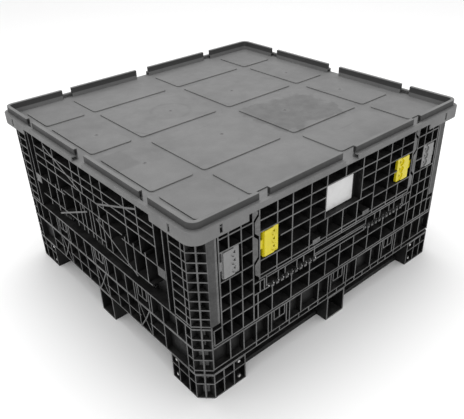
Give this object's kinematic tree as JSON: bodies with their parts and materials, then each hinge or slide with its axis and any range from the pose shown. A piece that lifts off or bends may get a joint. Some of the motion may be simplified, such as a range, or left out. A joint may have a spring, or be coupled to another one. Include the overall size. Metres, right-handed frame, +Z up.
{
  "type": "collapsible bulk container",
  "caption": "Fork-entry plastic bulk container with ribbed folding walls, drop doors with sliding latches, skid runners and a lift-off lid with a broken lip.",
  "frame": {"origin": "centre of the footprint at floor level, under the runners", "axes": "+Z up, +X along the longer side, -Y towards the front wall with its drop door"},
  "size_m": [1.257, 1.181, 0.67],
  "materials": {
    "body_plastic": "moulded black structural plastic, scuffed grey along the rib edges",
    "lid_plastic": "moulded dark grey plastic with a fine grain, sun-faded and scuffed",
    "door_latch": "moulded bright yellow plastic",
    "wall_latch": "moulded light grey plastic",
    "placard": "blank off-white write-on plate",
    "steel": "bare drawn steel"
  },
  "bodies": {
    "base": {"base_deck": "body_plastic", "front_curb": "body_plastic", "back_curb": "body_plastic", "left_curb": "body_plastic", "right_curb": "body_plastic", "runner_front": "body_plastic", "runner_middle": "body_plastic", "runner_back": "body_plastic", "runner_screws": "steel", "left_wall": "body_plastic", "left_front_post": "body_plastic", "left_back_post": "body_plastic", "right_wall": "body_plastic", "right_front_post": "body_plastic", "right_back_post": "body_plastic", "side_wall_pins": "steel", "front_wall_pins": "steel", "back_wall_pins": "steel"},
    "front_wall": {"front_beam": "body_plastic", "front_left_tower": "body_plastic", "front_right_tower": "body_plastic", "front_door_rods": "steel"},
    "back_wall": {"back_beam": "body_plastic", "back_left_tower": "body_plastic", "back_right_tower": "body_plastic", "back_door_rods": "steel"},
    "front_door": {"front_door": "body_plastic", "front_placard": "placard"},
    "back_door": {"back_door": "body_plastic", "back_placard": "placard"},
    "front_door_latch_left": {"front_door_latch_left": "door_latch"},
    "front_door_latch_right": {"front_door_latch_right": "door_latch"},
    "back_door_latch_left": {"back_door_latch_left": "door_latch"},
    "back_door_latch_right": {"back_door_latch_right": "door_latch"},
    "front_wall_latch_left": {"front_wall_latch_left": "wall_latch"},
    "front_wall_latch_right": {"front_wall_latch_right": "wall_latch"},
    "back_wall_latch_left": {"back_wall_latch_left": "wall_latch"},
    "back_wall_latch_right": {"back_wall_latch_right": "wall_latch"},
    "lid": {"lid": "lid_plastic"}
  },
  "joints": [
    {"name": "lid_lift", "type": "slide", "parent": "base", "child": "lid", "axis": [0, 0, 1], "range_m": [0, 0.3]},
    {"name": "front_wall_fold", "type": "hinge", "parent": "base", "child": "front_wall", "pos_m": [0, -0.5255, 0.213], "axis": [-1, 0, 0], "range_deg": [0, 90]},
    {"name": "back_wall_fold", "type": "hinge", "parent": "base", "child": "back_wall", "pos_m": [0, 0.5255, 0.213], "axis": [1, 0, 0], "range_deg": [0, 90]},
    {"name": "front_door_drop", "type": "hinge", "parent": "front_wall", "child": "front_door", "pos_m": [0, -0.5725, 0.324], "axis": [1, 0, 0], "range_deg": [0, 180]},
    {"name": "back_door_drop", "type": "hinge", "parent": "back_wall", "child": "back_door", "pos_m": [0, 0.5725, 0.324], "axis": [-1, 0, 0], "range_deg": [0, 180]},
    {"name": "front_door_latch_left_slide", "type": "slide", "parent": "front_door", "child": "front_door_latch_left", "axis": [-1, 0, 0], "range_m": [0, 0.01]},
    {"name": "front_door_latch_right_slide", "type": "slide", "parent": "front_door", "child": "front_door_latch_right", "axis": [1, 0, 0], "range_m": [0, 0.01]},
    {"name": "back_door_latch_left_slide", "type": "slide", "parent": "back_door", "child": "back_door_latch_left", "axis": [1, 0, 0], "range_m": [0, 0.01]},
    {"name": "back_door_latch_right_slide", "type": "slide", "parent": "back_door", "child": "back_door_latch_right", "axis": [-1, 0, 0], "range_m": [0, 0.01]},
    {"name": "front_wall_latch_left_slide", "type": "slide", "parent": "front_wall", "child": "front_wall_latch_left", "axis": [-1, 0, 0], "range_m": [0, 0.01]},
    {"name": "front_wall_latch_right_slide", "type": "slide", "parent": "front_wall", "child": "front_wall_latch_right", "axis": [1, 0, 0], "range_m": [0, 0.01]},
    {"name": "back_wall_latch_left_slide", "type": "slide", "parent": "back_wall", "child": "back_wall_latch_left", "axis": [1, 0, 0], "range_m": [0, 0.01]},
    {"name": "back_wall_latch_right_slide", "type": "slide", "parent": "back_wall", "child": "back_wall_latch_right", "axis": [-1, 0, 0], "range_m": [0, 0.01]}
  ]
}
